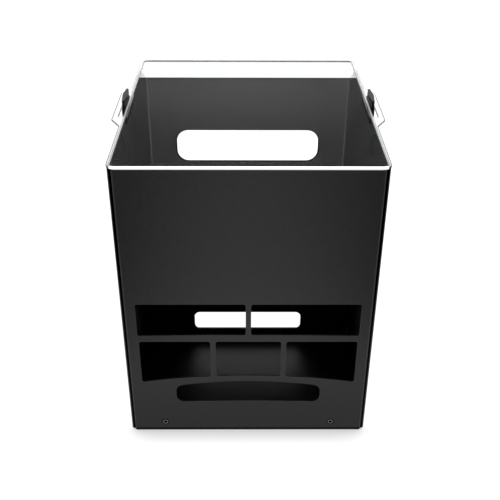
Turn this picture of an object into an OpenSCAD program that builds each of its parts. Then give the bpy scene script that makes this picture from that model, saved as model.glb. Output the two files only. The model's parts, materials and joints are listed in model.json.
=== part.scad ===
// Tool storage caddy: a folded steel body with a removable clear bin liner on
// top and an open-fronted tool bay below. Millimetres, +Z up, front towards -Y,
// origin on the table under the middle of the body.

/* [Body] */
// Width over the two sides
body_w = 250; // [230:1:290]
// Depth from the front panel's face to the back
body_d = 293; // [270:1:330]
// Height of the body's top edge above the table
body_h = 311; // [300:1:340]
// Thickness of the folded sheet
sheet = 1.2; // [1:0.1:1.5]
// Outer radius of the upright bends
bend_r = 3; // [2.5:0.5:4]
// Width of the returns folded in at the front and the rear
return_w = 13; // [12:0.5:16]
// How far below the top edge the back panel ends
back_drop = 20; // [12:1:30]
// Length of the ramp from the side's top edge down to the back
ramp_l = 32; // [20:1:38]
// Radius where the ramp meets the edges above and below it
ramp_r = 12; // [4:1:14]

/* [Hand slot] */
// Length of the hand slot in the back
hand_l = 177; // [120:1:186]
// Height of the hand slot
hand_h = 41.4; // [32:0.2:46]
// Height of the hand slot's middle above the bin floor
hand_rise = 31.6; // [28:0.2:46]
// Corner radius of the hand slot
hand_r = 14.4; // [8:0.2:15]

/* [Front panel] */
// Thickness of the front panel
front_t = 1.5; // [1.2:0.1:2]
// Distance from the body's side to the edge of the front panel
front_inset = 3; // [2:0.5:4]
// Radius of the front panel's corners
front_r = 1.5; // [1:0.5:3]
// Distance from the body's side to the outer edge of the upper windows
row1_inset = 14.5; // [14:0.5:22]
// Height of the upper windows' lower edge above the table, in the middle
row1_z = 129; // [126:0.5:132]
// Height of the upper windows in the middle
row1_h = 37.4; // [30:0.2:38.4]
// Drop of the upper windows' lower edge from the middle to its ends
row1_sag = 1.1; // [0.5:0.1:2]
// Distance from the body's side to the outer edge of the middle windows
row2_inset = 15.5; // [14:0.5:22]
// Height of the middle windows' lower edge above the table, in the middle
row2_z = 76.7; // [75:0.1:82]
// Height of the middle windows in the middle
row2_h = 44; // [38:0.5:45]
// Drop of the middle windows' lower edge from the middle to its ends
row2_sag = 8.8; // [5:0.1:12]
// Width of the middle one of the three middle windows
row2_mid_w = 65.7; // [50:0.1:80]
// Width of the webs between windows
web_w = 5.3; // [4:0.1:8]
// Corner radius of the windows
window_r = 2.5; // [1.5:0.5:4]
// Length of the low slot in the front panel
low_l = 149.6; // [120:0.1:160]
// Height of the low slot's lower edge above the table, in the middle
low_z = 42.3; // [38:0.1:44]
// Height of the low slot in the middle
low_h = 27.1; // [22:0.1:28]
// Drop of the low slot's upper edge from the middle to its ends
low_sag = 6.7; // [4:0.1:8]
// Drop of the low slot's lower edge from the middle to its ends
low_base_sag = 1.5; // [0.5:0.1:2.5]
// Corner radius of the low slot
low_r = 8; // [4:0.5:9]

/* [Tool bay] */
// Height of the bin floor's upper face above the table
floor_z = 171; // [170:0.5:175]
// Depth of the tool bay from the front panel's face
bay_d = 160; // [140:1:180]
// Width of the folded flanges on the inner panels
flange_w = 12; // [10:1:14]
// Length of the slot in the bay's rear wall
bay_slot_l = 130; // [100:1:160]
// Height of the slot in the bay's rear wall
bay_slot_h = 24.8; // [18:0.2:30]
// Height of that slot's lower edge above the table
bay_slot_z = 15; // [12:0.5:20]
// Corner radius of that slot
bay_slot_r = 6.6; // [3:0.2:8]
// Height of the base panel's front and rear lips
base_lip = 19; // [17:0.5:22]
// Width left at the sides of the base panel's rear opening
base_rim = 25; // [22:1:40]
// Distance from the bay's rear wall to the base panel's rear opening
base_gap = 18; // [14:1:30]
// Corner radius of the base panel's rear opening
base_r = 8; // [4:1:12]

/* [Liner] */
// Wall thickness of the clear liner
liner_t = 1.5; // [1:0.1:2]
// Thickness of the liner's lip and tabs
lip_t = 1.2; // [1:0.1:2]
// How far the lip stands past the body's sides
lip_over = 1.3; // [0.5:0.1:2]
// Corner radius of the lip
lip_r = 9; // [6:0.5:11]
// Outer corner radius of the liner's walls
liner_r = 5; // [4:0.5:8]
// Gap between the liner and the body around it
liner_gap = 0.3; // [0.2:0.05:0.6]
// Extra room around the hand slot in the liner
slot_room = 1.5; // [1:0.1:3]
// Length of a lift tab at its root
tab_root = 105; // [96:1:130]
// Length of a lift tab at its outer edge
tab_tip = 73; // [68:1:90]
// How far a lift tab stands past the body's side
tab_out = 10.8; // [8:0.1:14]
// Corner radius of the lift tabs
tab_r = 3; // [1:0.5:4]

/* [Slide catches] */
// Length of the slot for the catch in a lift tab
catch_slot_l = 59; // [56:1:66]
// Width of the slot for the catch
catch_slot_w = 4; // [3.8:0.1:4.6]
// Distance from the body's side to that slot
catch_slot_off = 0.6; // [0.5:0.1:1]
// How far a catch slides
catch_travel = 24; // [20:1:26]
// Height of the thumb grip above the lift tab
grip_h = 7.5; // [5:0.5:12]
// Width of the thumb grip in the middle
grip_w = 5.4; // [5:0.1:7]
// Width of the thumb grip's ends
grip_end = 2.4; // [1.6:0.1:3.5]
// Running gap between a catch and what it slides on
catch_gap = 0.3; // [0.25:0.05:0.4]
// Height of the catch's hook below the lift tab
hook_h = 9; // [8.5:0.1:11]
// Length of the finger that hooks into the body
finger_l = 6; // [4:0.5:8]
// Height of that finger
finger_h = 3; // [2:0.5:4]
// Room around the finger in its notch
finger_room = 0.6; // [0.5:0.1:1]
// Height of the backing strips inside the liner
strip_h = 7.5; // [5:0.5:10]
// Length of the backing strips
strip_l = 60; // [50:1:70]
// Thickness of the backing strips
strip_t = 0.9; // [0.8:0.1:1.5]

/* [Fasteners and feet] */
// Distance of the front screws from the middle
screw_x = 88.3; // [70:0.1:95]
// Height of the screws above the table
screw_z = 12; // [10:0.1:13]
// Diameter of the screw thread
screw_d = 3; // [2.5:0.1:3.5]
// Diameter of the screw head
screw_head = 5.6; // [5:0.1:6.5]
// Length of the screws
screw_l = 7; // [6:0.5:9]
// Diameter of the rivets
rivet_d = 3.2; // [3:0.1:4]
// Diameter of the rivets' heads
rivet_head = 6.5; // [6:0.1:8]
// Diameter of the rubber feet
foot_d = 14; // [10:0.5:18]
// Height of the rubber feet
foot_h = 1.5; // [1:0.1:3]
// Distance from the feet's middle to the body's sides
foot_in = 17; // [16:1:20]

/* [Hidden] */

round_fn = 48;
corner_steps = 6;
arch_steps = 24;
past = 1;                                     // how far a cut runs past a face
slack = 0.1;                                  // gap round a fastener's shank

front_y = -body_d / 2;
back_y = body_d / 2;
side_x = body_w / 2;
inner_x = side_x - sheet;                     // inner face of a side
wrap_y = front_y + front_t;                   // front face of the front returns
inner_front_y = wrap_y + sheet;               // rear face of the front returns
inner_back_y = back_y - sheet;                // inner face of the back
return_x = side_x - return_w;                 // free edge of the returns
back_top = body_h - back_drop;
ramp_end_y = inner_back_y - sheet;
base_top = foot_h + sheet;
floor_low = floor_z - sheet;                  // underside of the bin floor
bay_y = front_y + bay_d;                      // front face of the bay's rear wall
flange_relief = 3;                            // from a bend to the end of a flange
end_gap = bend_r + flange_relief;             // flanges stop this short of a corner
lip_x = return_x - 0.5;                       // front lips fit between the returns
rear_gap_top = floor_low - flange_w - 2;      // top of the opening under the back

liner_x = inner_x - liner_gap;                // outer face of the liner's sides
liner_front_y = inner_front_y + liner_gap;
liner_back_y = inner_back_y - liner_gap;
liner_low = floor_z + liner_gap;              // underside of the liner
lip_top = body_h + lip_t;
hand_z = floor_z + hand_rise;

catch_x = side_x + catch_slot_off + catch_slot_w / 2;
tongue_w = catch_slot_w - 2 * catch_gap;
tongue_l = catch_slot_l - catch_travel - 2 * catch_gap;
catch_y = catch_travel / 2;                   // a catch rests at the rear of its slot
grip_l = tongue_l + 1.2;
hook_w = catch_slot_w + 0.3;
hook_top = body_h - catch_gap;
finger_z = hook_top - hook_h + 1;             // underside of the finger
finger_tip = side_x - 0.9;                    // how far in the finger reaches
catch_screw_d = 2;
catch_screw_head = 3;
catch_screw_pitch = 22;
catch_screw_step = 3;                         // hook left between head and tab
catch_screw_cover = 3;                        // grip left above a catch screw

nut_d = 6.4;
nut_t = 2.3;
head_h = (screw_head - screw_d) / 2;          // of a 90 degree countersunk head
head_sink = 0.15;                             // how far the head lies below the face
socket_d = 2.3;
socket_deep = 1.2;
rear_screw_x = (return_x + inner_x) / 2 + 0.4;
rivet_z = floor_low - flange_w / 2;
rivet_y = body_d * 0.31;
wall_rivet_y = bay_y + sheet + flange_w / 2;
wall_rivet_in = 40;                           // from the rows above and below
wall_rivets_z = [screw_z + wall_rivet_in, rivet_z - wall_rivet_in];

body_colour = "#26272a";
inner_colour = "#2f3033";
clear_colour = [0.85, 0.93, 0.96, 0.35];
black_plastic = "#17181a";
steel_colour = "#8f949a";
rubber_colour = "#101112";

// ---- outlines ----

function unit(v) = v / norm(v);

// Points of an arc that rounds corner b between a and c to radius r
function fillet(a, b, c, r) =
    let (u = unit(a - b), v = unit(c - b), half = acos(u * v) / 2,
        mid = b + unit(u + v) * r / sin(half),
        from = b + u * r / tan(half) - mid, to = b + v * r / tan(half) - mid,
        a0 = atan2(from.y, from.x), swing = atan2(to.y, to.x) - a0,
        turn = swing > 180 ? swing - 360 : swing < -180 ? swing + 360 : swing)
    [for (i = [0:corner_steps]) let (t = a0 + turn * i / corner_steps)
        mid + r * [cos(t), sin(t)]];

// The outline pts with each corner i rounded to radius rs[i]
function rounded(pts, rs) =
    let (n = len(pts))
    [for (i = [0:n - 1]) each rs[i] > 0
        ? fillet(pts[(i + n - 1) % n], pts[i], pts[(i + 1) % n], rs[i]) : [pts[i]]];

// Height at x of an arch that is z in the middle and sag lower at x = half
function arch(x, z, half, sag) =
    let (r = (half * half + sag * sag) / (2 * sag))
    z - r + sqrt(r * r - x * x);

// Stations along an arch: its ends, and points clear of their fillets in between
function stations(x0, x1, r) = concat([x0],
    [for (i = [0:arch_steps]) x0 + 1.3 * r + (x1 - x0 - 2.6 * r) * i / arch_steps], [x1]);

// Window from x0 to x1: its edges are arches that drop by a sag at x = half, and a
// top_sag of 0 makes the upper edge straight
function window(x0, x1, low, low_sag, top, top_sag, half, r) =
    let (xs = stations(x0, x1, r), n = len(xs),
        under = [for (x = xs) [x, arch(x, low, half, low_sag)]],
        over = top_sag > 0
            ? [for (i = [n - 1:-1:0]) [xs[i], arch(xs[i], top, half, top_sag)]]
            : [[x1, top], [x0, top]],
        ends = [for (i = [0:n - 1]) (i == 0 || i == n - 1) ? r : 0])
    rounded(concat(under, over), concat(ends, top_sag > 0 ? ends : [r, r]));

module rounded_rect(x0, x1, y0, y1, r) {
    translate([x0, y0 + r]) square([x1 - x0, y1 - y0 - 2 * r]);
    translate([x0 + r, y0]) square([x1 - x0 - 2 * r, y1 - y0]);
    for (x = [x0 + r, x1 - r], y = [y0 + r, y1 - r])
        translate([x, y]) circle(r = r, $fn = round_fn);
}

// Stands an x-z outline up as a plate from y to y + t
module upright(y, t) {
    translate([0, y + t, 0]) rotate([90, 0, 0]) linear_extrude(t) children();
}

// Stands a y-z outline up as a plate from x to x + t
module sideways(x, t) {
    translate([x, 0, 0]) rotate([90, 0, 90]) linear_extrude(t) children();
}

module block(x0, x1, y0, y1, z0, z1) {
    translate([x0, y0, z0]) cube([x1 - x0, y1 - y0, z1 - z0]);
}

// Round bar along Y from y to y + l
module bar_y(x, y, z, d, l) {
    translate([x, y + l, z]) rotate([90, 0, 0]) cylinder(d = d, h = l, $fn = round_fn);
}

// Round bar along X from x to x + l
module bar_x(x, y, z, d, l) {
    translate([x, y, z]) rotate([0, 90, 0]) cylinder(d = d, h = l, $fn = round_fn);
}

// Draws its children on the right side, or mirrored on the left one
module on_side(side) {
    if (side > 0) children();
    else mirror([1, 0, 0]) children();
}

// ---- sheet metal ----

module front_windows() {
    row1_x = side_x - row1_inset;
    row2_x = side_x - row2_inset;
    mid_x = row2_mid_w / 2;
    row1_top = row1_z + row1_h;
    row2_top = row2_z + row2_h;
    for (side = [-1, 1]) on_side(side) {
        polygon(window(web_w / 2, row1_x, row1_z, row1_sag, row1_top, 0, row1_x, window_r));
        polygon(window(mid_x + web_w, row2_x, row2_z, row2_sag, row2_top, 0, row2_x,
            window_r));
    }
    polygon(window(-mid_x, mid_x, row2_z, row2_sag, row2_top, 0, row2_x, window_r));
    polygon(window(-low_l / 2, low_l / 2, low_z, low_base_sag, low_z + low_h, low_sag,
        low_l / 2, low_r));
}

// Puts its children, drawn at the origin and running along +Y, at a pair of screws
module front_spots() {
    for (side = [-1, 1]) translate([side * screw_x, front_y, screw_z]) children();
}

module rear_spots() {
    for (side = [-1, 1]) translate([side * rear_screw_x, back_y, screw_z])
        rotate([0, 0, 180]) children();
}

// Hole for a screw shank, from the outer face to past depth t
module screw_hole(t) {
    bar_y(0, -past, 0, screw_d + 2 * slack, t + 2 * past);
}

// Hole for a whole screw: a countersink in the outer face and the hole behind it
module screw_seat(t) {
    screw_hole(t);
    rotate([-90, 0, 0]) cylinder(d1 = screw_head + 2 * head_sink + 2 * slack,
        d2 = screw_d + 2 * slack, h = head_h + head_sink, $fn = round_fn);
}

module front_panel() {
    half = side_x - front_inset;
    color(body_colour) difference() {
        upright(front_y, front_t) difference() {
            rounded_rect(-half, half, foot_h, body_h, front_r);
            front_windows();
        }
        front_spots() screw_seat(front_t);
    }
}

// Plan of the sides, the back and the front returns
module wrap_plan() {
    difference() {
        rounded_rect(-side_x, side_x, wrap_y, back_y, bend_r);
        rounded_rect(-inner_x, inner_x, inner_front_y, inner_back_y, bend_r - sheet);
        translate([-return_x, wrap_y - past]) square([2 * return_x, sheet + 2 * past]);
    }
}

// Side view of the wrap, with its ramp down to the back panel
module wrap_profile() {
    polygon(rounded([[wrap_y - past, foot_h], [back_y + past, foot_h],
        [back_y + past, back_top], [ramp_end_y, back_top],
        [ramp_end_y - ramp_l, body_h], [wrap_y - past, body_h]],
        [0, 0, 0, ramp_r, ramp_r, 0]));
}

// Hand slot outline, grown by room all round
module hand_slot(room) {
    half = hand_l / 2 + room;
    rounded_rect(-half, half, hand_z - hand_h / 2 - room, hand_z + hand_h / 2 + room,
        hand_r + room);
}

// Notch in a side's top edge: the finger drops in at the rear and slides forward
module finger_notch() {
    half = finger_l / 2 + finger_room;
    low = finger_z - finger_room;
    high = finger_z + finger_h + finger_room;
    sideways(inner_x - past, sheet + 2 * past) {
        translate([catch_y - half, low]) square([2 * half, body_h + past - low]);
        translate([-catch_y - half, low]) square([2 * catch_y + 2 * half, high - low]);
    }
}

module body_wrap() {
    color(body_colour) difference() {
        intersection() {
            translate([0, 0, foot_h]) linear_extrude(body_h - foot_h) wrap_plan();
            sideways(-side_x - past, body_w + 2 * past) wrap_profile();
        }
        upright(inner_back_y - past, sheet + 2 * past) {
            hand_slot(0);
            polygon(rounded([[-return_x, foot_h - past], [return_x, foot_h - past],
                [return_x, rear_gap_top], [-return_x, rear_gap_top]],
                [0, 0, base_r, base_r]));
        }
        for (side = [-1, 1]) on_side(side) finger_notch();
        rear_spots() screw_seat(sheet);
        side_rivet_holes();
    }
}

// Plan of a flat inner panel that fills the body
module panel_plan() {
    rounded_rect(-inner_x, inner_x, inner_front_y, inner_back_y, bend_r);
    translate([-lip_x, wrap_y]) square([2 * lip_x, sheet + bend_r + past]);
}

module bin_floor() {
    flange_x = inner_x - sheet;
    color(inner_colour) difference() {
        union() {
            translate([0, 0, floor_low]) linear_extrude(sheet) panel_plan();
            block(-lip_x, lip_x, wrap_y, inner_front_y, floor_low, floor_z + flange_w);
            block(-flange_x + end_gap, flange_x - end_gap, inner_back_y - sheet,
                inner_back_y, floor_low - flange_w, floor_z);
            for (side = [-1, 1]) on_side(side)
                block(flange_x, inner_x, inner_front_y + end_gap, inner_back_y - end_gap,
                    floor_low - flange_w, floor_z);
        }
        side_rivet_holes();
    }
}

module bay_rear_wall() {
    narrow_x = inner_x - sheet - 0.2;         // clears the flanges at the sides
    wing_low = base_top + flange_w + 2;
    wing_high = floor_low - flange_w - 2;
    half = bay_slot_l / 2;
    color(inner_colour) difference() {
        union() {
            upright(bay_y, sheet) {
                translate([-narrow_x, base_top])
                    square([2 * narrow_x, floor_low - base_top]);
                translate([-inner_x, wing_low]) square([2 * inner_x, wing_high - wing_low]);
            }
            for (side = [-1, 1]) on_side(side)
                block(inner_x - sheet, inner_x, bay_y, bay_y + sheet + flange_w,
                    wing_low, wing_high);
            block(-narrow_x, narrow_x, bay_y, bay_y + sheet + flange_w,
                floor_low - sheet, floor_low);
            block(-narrow_x, narrow_x, bay_y, bay_y + sheet + flange_w,
                base_top, base_top + sheet);
        }
        upright(bay_y - past, sheet + 2 * past)
            rounded_rect(-half, half, bay_slot_z, bay_slot_z + bay_slot_h, bay_slot_r);
        side_rivet_holes();
    }
}

module base_panel() {
    rim_x = side_x - base_rim;
    color(inner_colour) difference() {
        union() {
            translate([0, 0, foot_h]) linear_extrude(sheet) difference() {
                panel_plan();
                rounded_rect(-rim_x, rim_x, bay_y + base_gap, inner_back_y - base_gap, base_r);
            }
            block(-lip_x, lip_x, wrap_y, inner_front_y, foot_h, foot_h + base_lip);
            block(-side_x + bend_r, side_x - bend_r, inner_back_y - sheet, inner_back_y,
                base_top, foot_h + base_lip);
            block(-inner_x + end_gap, inner_x - end_gap, inner_back_y - sheet,
                inner_back_y, foot_h, base_top);
            for (side = [-1, 1]) on_side(side)
                block(inner_x - sheet, inner_x, inner_front_y + end_gap,
                    inner_back_y - end_gap, foot_h, base_top + flange_w);
        }
        front_spots() screw_seat(front_t + sheet);
        rear_spots() screw_seat(2 * sheet);
    }
}

// ---- clear liner ----

// Lift tab on the right side, in plan, with the slot that its catch slides in
module tab_plan() {
    root = side_x - sheet;
    tip = side_x + tab_out;
    slot_half = catch_slot_l / 2 - catch_slot_w / 2;
    difference() {
        polygon(rounded([[root, -tab_root / 2], [side_x + lip_over, -tab_root / 2],
            [tip, -tab_tip / 2], [tip, tab_tip / 2], [side_x + lip_over, tab_root / 2],
            [root, tab_root / 2]], [0, 0, tab_r, tab_r, 0, 0]));
        translate([catch_x - catch_slot_w / 2, -slot_half])
            square([catch_slot_w, 2 * slot_half]);
        for (y = [-slot_half, slot_half])
            translate([catch_x, y]) circle(d = catch_slot_w, $fn = round_fn);
    }
}

// Lip outline with the room for the catches' slots left out of it
module lip_plan() {
    slot_half = catch_slot_l / 2;
    lip_out = side_x + lip_over;
    difference() {
        rounded_rect(-lip_out, lip_out, front_y, back_y, lip_r);
        rounded_rect(-liner_x + liner_t, liner_x - liner_t, liner_front_y + liner_t,
            liner_back_y - liner_t, liner_r - liner_t);
        for (side = [-1, 1]) on_side(side)
            translate([side_x + catch_slot_off, -slot_half])
                square([lip_over + past, 2 * slot_half]);
    }
}

module clear_liner() {
    color(clear_colour) difference() {
        union() {
            difference() {
                translate([0, 0, liner_low]) linear_extrude(lip_top - liner_low)
                    rounded_rect(-liner_x, liner_x, liner_front_y, liner_back_y, liner_r);
                translate([0, 0, liner_low + liner_t]) linear_extrude(body_h)
                    rounded_rect(-liner_x + liner_t, liner_x - liner_t,
                        liner_front_y + liner_t, liner_back_y - liner_t,
                        liner_r - liner_t);
            }
            translate([0, 0, body_h]) linear_extrude(lip_t) {
                lip_plan();
                for (side = [-1, 1]) on_side(side) tab_plan();
            }
        }
        upright(liner_back_y - liner_t - past, liner_t + 2 * past) hand_slot(slot_room);
    }
}

// Strip behind a lift tab, on the inner face of the liner's side
module backing_strip(side) {
    x = liner_x - liner_t;
    color(black_plastic) on_side(side)
        block(x - strip_t, x, -strip_l / 2, strip_l / 2, lip_top - strip_h, lip_top);
}

// ---- slide catches ----

// Six-sided plan of the thumb grip
module grip_plan() {
    polygon([[catch_x - grip_end / 2, catch_y - grip_l / 2],
        [catch_x + grip_end / 2, catch_y - grip_l / 2], [catch_x + grip_w / 2, catch_y],
        [catch_x + grip_end / 2, catch_y + grip_l / 2],
        [catch_x - grip_end / 2, catch_y + grip_l / 2], [catch_x - grip_w / 2, catch_y]]);
}

// Round-ended tongue that runs in the tab's slot
module tongue_plan() {
    half = tongue_l / 2 - tongue_w / 2;
    translate([catch_x - tongue_w / 2, catch_y - half]) square([tongue_w, 2 * half]);
    for (y = [-half, half])
        translate([catch_x, catch_y + y]) circle(d = tongue_w, $fn = round_fn);
}

// Upright holes of diameter d for the screws of a catch
module catch_holes(d, z0, z1) {
    for (y = [-catch_screw_pitch / 2, catch_screw_pitch / 2])
        translate([catch_x, catch_y + y, z0]) cylinder(d = d, h = z1 - z0, $fn = round_fn);
}

module thumb_grip(side) {
    low = lip_top + catch_gap;
    top = low + grip_h;
    color(black_plastic) on_side(side) difference() {
        union() {
            translate([0, 0, low]) linear_extrude(grip_h) grip_plan();
            translate([0, 0, hook_top]) linear_extrude(low + past - hook_top) tongue_plan();
        }
        catch_holes(catch_screw_d + slack, hook_top - past, top - catch_screw_cover + past);
    }
}

module catch_hook(side) {
    low = hook_top - hook_h;
    x0 = side_x + catch_gap;
    x1 = x0 + hook_w;
    y0 = catch_y - tongue_l / 2;
    y1 = catch_y + tongue_l / 2;
    color(black_plastic) on_side(side) difference() {
        union() {
            block(x0, x1, y0, y1, low, hook_top);
            block(finger_tip, x0 + past, catch_y - finger_l / 2, catch_y + finger_l / 2,
                finger_z, finger_z + finger_h);
        }
        catch_holes(catch_screw_d + 2 * slack, low - past, hook_top + past);
        catch_holes(catch_screw_head + 2 * slack, low - past, hook_top - catch_screw_step);
    }
}

module catch_screws(side) {
    seat = hook_top - catch_screw_step;
    top = lip_top + catch_gap + grip_h - catch_screw_cover;
    color(steel_colour) on_side(side) {
        catch_holes(catch_screw_head, seat - 1.4, seat);
        catch_holes(catch_screw_d, seat - 0.1, top);
    }
}

// ---- fasteners and feet ----

// Countersunk screw with a hexagon socket, its head just below the outer face
module base_screw() {
    difference() {
        union() {
            translate([0, head_sink, 0]) rotate([-90, 0, 0])
                cylinder(d1 = screw_head, d2 = screw_d, h = head_h, $fn = round_fn);
            bar_y(0, head_sink + head_h, 0, screw_d, screw_l - head_h);
        }
        translate([0, -past, 0]) rotate([-90, 0, 0])
            cylinder(d = socket_d, h = past + socket_deep, $fn = 6);
    }
}

module base_screws() {
    color(steel_colour) {
        front_spots() base_screw();
        rear_spots() base_screw();
    }
}

// Clinch nut on the inner face of two sheets that are t thick together
module clinch_nut(t) {
    difference() {
        bar_y(0, t, 0, nut_d, nut_t);
        screw_hole(t + nut_t);
    }
}

module clinch_nuts() {
    color(steel_colour) {
        front_spots() clinch_nut(front_t + sheet);
        rear_spots() clinch_nut(2 * sheet);
    }
}

// Places of the rivets on the right side: [y, z]
function side_rivet_places() = concat([for (y = [-rivet_y, rivet_y]) [y, rivet_z]],
    [for (z = wall_rivets_z) [wall_rivet_y, z]]);

module side_rivet_holes() {
    for (side = [-1, 1], p = side_rivet_places()) on_side(side)
        bar_x(inner_x - sheet - past, p[0], p[1], rivet_d + slack, 2 * sheet + 2 * past);
}

// Domed rivet on the right side: head outside, set tail inside the two sheets
module side_rivet(y, z) {
    head_t = 1;
    tail_t = 1.2;
    translate([side_x, y, z]) rotate([0, 90, 0]) rotate_extrude($fn = round_fn)
        polygon([[0, -2 * sheet - tail_t], [rivet_d * 0.7, -2 * sheet - tail_t],
            [rivet_d * 0.7, -2 * sheet], [rivet_d / 2, -2 * sheet], [rivet_d / 2, 0],
            [rivet_head / 2, 0], [rivet_head / 2, head_t * 0.4],
            [rivet_head * 0.36, head_t * 0.85], [0, head_t]]);
}

module side_rivets() {
    color(body_colour) for (side = [-1, 1], p = side_rivet_places())
        on_side(side) side_rivet(p[0], p[1]);
}

module rubber_feet() {
    bevel = foot_h * 0.3;
    color(rubber_colour) for (x = [-1, 1], y = [-1, 1])
        translate([x * (side_x - foot_in), y * (back_y - foot_in), 0])
            rotate_extrude($fn = round_fn)
                polygon([[0, 0], [foot_d / 2 - bevel, 0], [foot_d / 2, bevel],
                    [foot_d / 2, foot_h], [0, foot_h]]);
}

front_panel();
body_wrap();
bin_floor();
bay_rear_wall();
base_panel();
clear_liner();
thumb_grip(-1);  // left_thumb_grip
thumb_grip(1);  // right_thumb_grip
catch_hook(-1);  // left_catch_hook
catch_hook(1);  // right_catch_hook
catch_screws(-1);  // left_catch_screws
catch_screws(1);  // right_catch_screws
backing_strip(-1);  // left_backing_strip
backing_strip(1);  // right_backing_strip
base_screws();
clinch_nuts();
side_rivets();
rubber_feet();
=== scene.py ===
# %% [markdown]
# # A tool storage caddy
# This lesson dresses a caddy for model making tools: a body of folded steel with a black powder coat, a
# clear bin liner that lifts out of its top, and an open bay below with windows in the front panel. The
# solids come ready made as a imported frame, in metres, with the front facing -Y. Each step says what a piece
# or finish is on the real caddy, how it could be made in Blender, and why it is made this way.

# %% Load the frame
import json
import math

import bmesh
import bpy
from mathutils import Matrix, Vector

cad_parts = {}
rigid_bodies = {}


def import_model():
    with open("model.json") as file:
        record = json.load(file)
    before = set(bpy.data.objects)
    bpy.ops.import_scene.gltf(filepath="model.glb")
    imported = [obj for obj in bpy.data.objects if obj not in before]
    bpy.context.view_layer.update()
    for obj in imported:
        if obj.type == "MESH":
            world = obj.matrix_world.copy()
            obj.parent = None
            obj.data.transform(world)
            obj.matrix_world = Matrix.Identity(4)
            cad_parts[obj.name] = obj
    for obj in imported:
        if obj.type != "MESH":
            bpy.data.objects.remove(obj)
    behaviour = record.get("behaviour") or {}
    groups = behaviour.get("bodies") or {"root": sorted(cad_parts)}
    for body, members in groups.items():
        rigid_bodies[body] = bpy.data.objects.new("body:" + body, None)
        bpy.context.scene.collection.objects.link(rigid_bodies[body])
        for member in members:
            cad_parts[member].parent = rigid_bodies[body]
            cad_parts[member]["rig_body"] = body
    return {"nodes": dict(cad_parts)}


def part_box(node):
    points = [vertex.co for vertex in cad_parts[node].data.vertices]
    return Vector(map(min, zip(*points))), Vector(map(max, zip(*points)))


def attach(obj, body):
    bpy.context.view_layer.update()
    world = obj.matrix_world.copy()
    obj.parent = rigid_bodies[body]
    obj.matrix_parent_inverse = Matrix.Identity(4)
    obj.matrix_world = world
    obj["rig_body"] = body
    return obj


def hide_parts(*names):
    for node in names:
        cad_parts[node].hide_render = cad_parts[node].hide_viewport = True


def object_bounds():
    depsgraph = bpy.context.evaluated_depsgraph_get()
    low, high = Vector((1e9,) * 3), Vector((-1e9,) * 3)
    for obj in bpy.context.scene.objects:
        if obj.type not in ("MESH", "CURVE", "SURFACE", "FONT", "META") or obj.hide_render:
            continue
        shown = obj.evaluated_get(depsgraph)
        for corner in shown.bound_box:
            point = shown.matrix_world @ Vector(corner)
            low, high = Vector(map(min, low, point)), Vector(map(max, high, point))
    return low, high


MM = 0.001

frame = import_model()
cad_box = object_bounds()
caddy_w = cad_box[1].x - cad_box[0].x
caddy_h = cad_box[1].z - cad_box[0].z
print(f"The caddy is {caddy_w / MM:.0f} mm wide over its tabs and {caddy_h / MM:.0f} mm high.")

# %% [markdown]
# ## Measures taken from the solids
# Finishes change at real places: the front face, the outer sides, the rim and the heads of the screws.
# These places could be typed in, but then a new size of caddy would leave them behind, so they are read off
# the solids. The front panel will be drawn in at its sides by the inset given here.


# %% Measure the body
def middle(values):
    """Halfway between the lowest and the highest of some values."""
    return (min(values) + max(values)) / 2


front_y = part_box("front_panel")[0].y
side_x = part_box("body_wrap")[1].x
lip_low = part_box("body_wrap")[1].z
panel_inset = 1.2 * MM
panel_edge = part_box("front_panel")[1].x - panel_inset
screw_points = [point.co for point in frame["nodes"]["base_screws"].data.vertices]
front_heads = [at for at in screw_points if at.y < front_y + 1 * MM]
screw_x = middle([abs(at.x) for at in front_heads])
screw_z = middle([at.z for at in front_heads])
print(f"The front face is {-front_y / MM:.1f} mm and each side {side_x / MM:.1f} mm from the middle.")
print(f"The rim is {lip_low / MM:.1f} mm up.")
print(f"The front screws are {screw_x / MM:.1f} mm off the middle and {screw_z / MM:.1f} mm up.")

# %% [markdown]
# ## The camera
# A camera could be aimed with a constraint, but then its roll is hard to set. Here it is placed by its
# position and three turns: down by the pitch, a touch to the side by the yaw, and a touch of roll, as in a
# hand-set product shot. The lens is written for a frame that is as wide as it is high.


# %% Place the camera
def put_in_scene(name, data):
    """Makes an object of a camera, lamp or mesh and links it to the scene."""
    thing = bpy.data.objects.new(name, data)
    bpy.context.scene.collection.objects.link(thing)
    return thing


camera_at = Vector((-4.01, -765.59, 613.20)) * MM
pitch, yaw, roll = math.radians(31.836), math.radians(0.484), math.radians(0.289)

camera_data = bpy.data.cameras.new("camera")
camera_data.sensor_width = 36.0
camera_data.sensor_fit = "HORIZONTAL"
camera_data.lens = 56.58
camera_data.clip_start = 0.02
camera_data.clip_end = 50.0
camera = put_in_scene("camera", camera_data)
turn = (Matrix.Rotation(-yaw, 4, "Z") @ Matrix.Rotation(math.pi / 2 - pitch, 4, "X")
        @ Matrix.Rotation(roll, 4, "Z"))
camera.matrix_world = Matrix.Translation(camera_at) @ turn
bpy.context.scene.camera = camera
bpy.context.scene.view_settings.view_transform = "Standard"
print(f"The camera looks down by {math.degrees(pitch):.1f} degrees, through a"
      f" {camera_data.lens:.1f} mm lens.")

# %% [markdown]
# ## Small helpers for node materials
# A material is a little machine of nodes. It could be wired by hand in the Shader Editor, but a script
# shows each step. These helpers make a node, feed its inputs by name and place it, so that each material
# below reads as a short list of what feeds what.


# %% Helpers: nodes
def feed(socket, value):
    """Links another node's output into an input, or sets the input to a number or colour."""
    if isinstance(value, bpy.types.NodeSocket):
        socket.id_data.links.new(value, socket)
    else:
        socket.default_value = value


def add_node(tree, kind, **settings):
    """
    Adds a node of that kind. A setting that names one of its inputs feeds that input, and any other
    setting is a property of the node. An underscore stands for a space.
    """
    node = tree.nodes.new(kind)
    for name, value in settings.items():
        label = name.replace("_", " ")
        if label in node.inputs:
            feed(node.inputs[label], value)
        else:
            setattr(node, name, value)
    return node


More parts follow.
